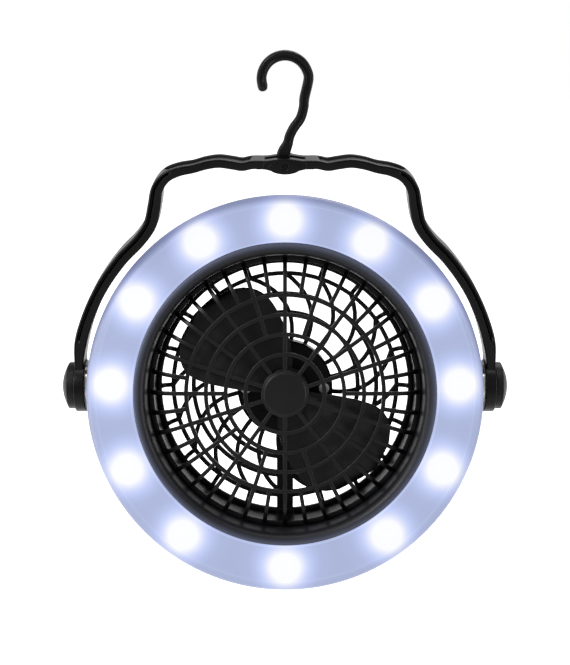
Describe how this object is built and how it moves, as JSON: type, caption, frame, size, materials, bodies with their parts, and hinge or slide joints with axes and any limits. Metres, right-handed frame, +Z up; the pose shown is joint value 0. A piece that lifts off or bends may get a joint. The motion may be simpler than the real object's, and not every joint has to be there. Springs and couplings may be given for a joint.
{
  "type": "portable camping fan",
  "caption": "Round battery fan with a ring of lights about its grille, tilting in a waved bail handle that hangs from a swinging hook.",
  "frame": {"origin": "top of the inside of the hook bend, where the hook hangs on its rail; every part hangs below it", "axes": "+Z up; the lit face looks towards -Y and, as pictured, leans 15 degrees up from it; +X is to the right as seen from the front"},
  "size_m": [0.1822, 0.08, 0.218],
  "materials": {
    "black_plastic": "moulded black ABS, fine satin grain",
    "knob_plastic": "moulded black ABS, satin",
    "lens": "translucent diffusing polycarbonate, lit from inside",
    "reflector": "moulded white",
    "white_board": "white solder mask on laminate",
    "green_board": "green solder mask on laminate",
    "lights": "LED packages, lit",
    "steel": "zinc plated or bare steel",
    "spring_steel": "nickel plated spring steel",
    "bronze": "sintered bronze",
    "cell_jacket": null,
    "wire": "PVC insulation",
    "switch": "plated and moulded switch body"
  },
  "bodies": {
    "hook": {"hook": "black_plastic"},
    "handle": {"handle": "black_plastic", "hook_pin": "steel"},
    "head": {"lens": "lens", "led_reflector": "reflector", "led_board": "white_board", "leds": "lights", "led_leads": "wire", "front_bezel": "black_plastic", "front_grille": "black_plastic", "rear_housing": "black_plastic", "rear_grille": "black_plastic", "motor": "steel", "motor_bush": "bronze", "motor_cover": "black_plastic", "motor_screws": "steel", "motor_leads": "wire", "wire_cover": "black_plastic", "knob_left": "knob_plastic", "knob_right": "knob_plastic", "washer_left": "spring_steel", "washer_right": "spring_steel", "pivot_screw_left": "steel", "pivot_screw_right": "steel", "battery_cells": "cell_jacket", "battery_contacts": "spring_steel", "control_board": "green_board", "board_screws": "steel", "fan_switch": "switch", "light_switch": "switch", "housing_screws": "steel"},
    "rotor": {"fan_rotor": "black_plastic", "motor_shaft": "steel"},
    "fan_slider": {"fan_slider": "knob_plastic"},
    "light_button": {"light_button": "knob_plastic"},
    "battery_door_left": {"battery_door_left": "black_plastic"},
    "battery_door_right": {"battery_door_right": "black_plastic"}
  },
  "joints": [
    {"name": "hook_swing", "type": "hinge", "parent": "hook", "child": "handle", "pos_m": [0, 0, -0.0394], "axis": [0, 1, 0], "range_deg": [-50, 50]},
    {"name": "head_tilt", "type": "hinge", "parent": "handle", "child": "head", "pos_m": [0, 0, -0.1314], "axis": [1, 0, 0], "range_deg": [-75, 105]},
    {"name": "rotor_spin", "type": "hinge", "parent": "head", "child": "rotor", "pos_m": [0, -0.00065, -0.13381], "axis": [0, -0.9659, 0.2588], "continuous": true},
    {"name": "slider_slide", "type": "slide", "parent": "head", "child": "fan_slider", "axis": [1, 0, 0], "range_m": [0, 0.005]},
    {"name": "button_press", "type": "slide", "parent": "head", "child": "light_button", "axis": [0, -0.9659, 0.2588], "range_m": [0, 0.0012], "stiffness_N_per_m": 400, "springref_m": -0.0005},
    {"name": "door_left_slide", "type": "slide", "parent": "head", "child": "battery_door_left", "axis": [0, 0.9659, -0.2588], "range_m": [0, 0.012]},
    {"name": "door_right_slide", "type": "slide", "parent": "head", "child": "battery_door_right", "axis": [0, 0.9659, -0.2588], "range_m": [0, 0.012]}
  ]
}
